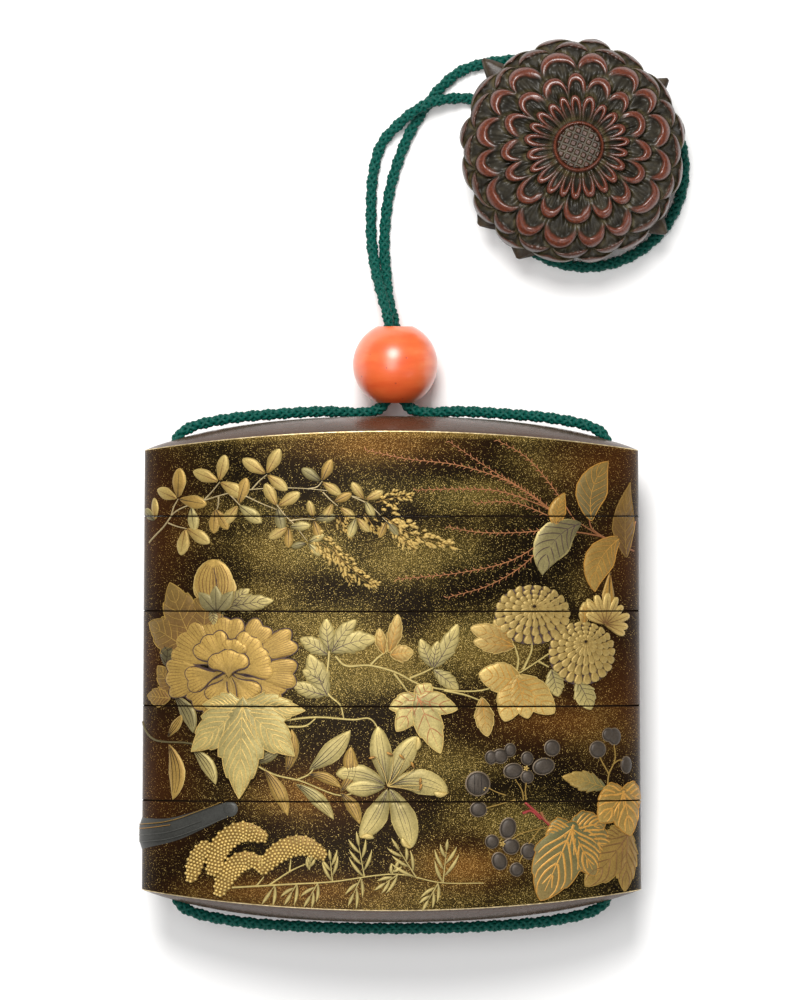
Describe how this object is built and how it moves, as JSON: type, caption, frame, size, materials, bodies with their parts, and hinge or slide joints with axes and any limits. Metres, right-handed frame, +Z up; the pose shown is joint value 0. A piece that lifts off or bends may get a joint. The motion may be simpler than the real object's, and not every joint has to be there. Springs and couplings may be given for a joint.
{
  "type": "inro case with bead and netsuke",
  "caption": "Flat oval lacquered case of stacked trays under a lid, on a silk cord with a coral bead and a carved flower toggle.",
  "frame": {"origin": "under the middle of the case, on the surface that it lies on", "axes": "+X to the case's right, +Y from its base to its lid, +Z up through its decorated front"},
  "size_m": [0.0905, 0.1476, 0.0282],
  "materials": {
    "lacquer": "polished black lacquer over wood, sprinkled and raised with gold",
    "coral": "polished",
    "carved_wood": "carved, dark, worn to a polish on its high edges",
    "silk": "round braid"
  },
  "bodies": {
    "root": {"lid": "lacquer", "case_1": "lacquer", "case_2": "lacquer", "case_3": "lacquer", "case_4": "lacquer", "bead": "coral", "netsuke": "carved_wood", "cord": "silk"}
  },
  "joints": []
}
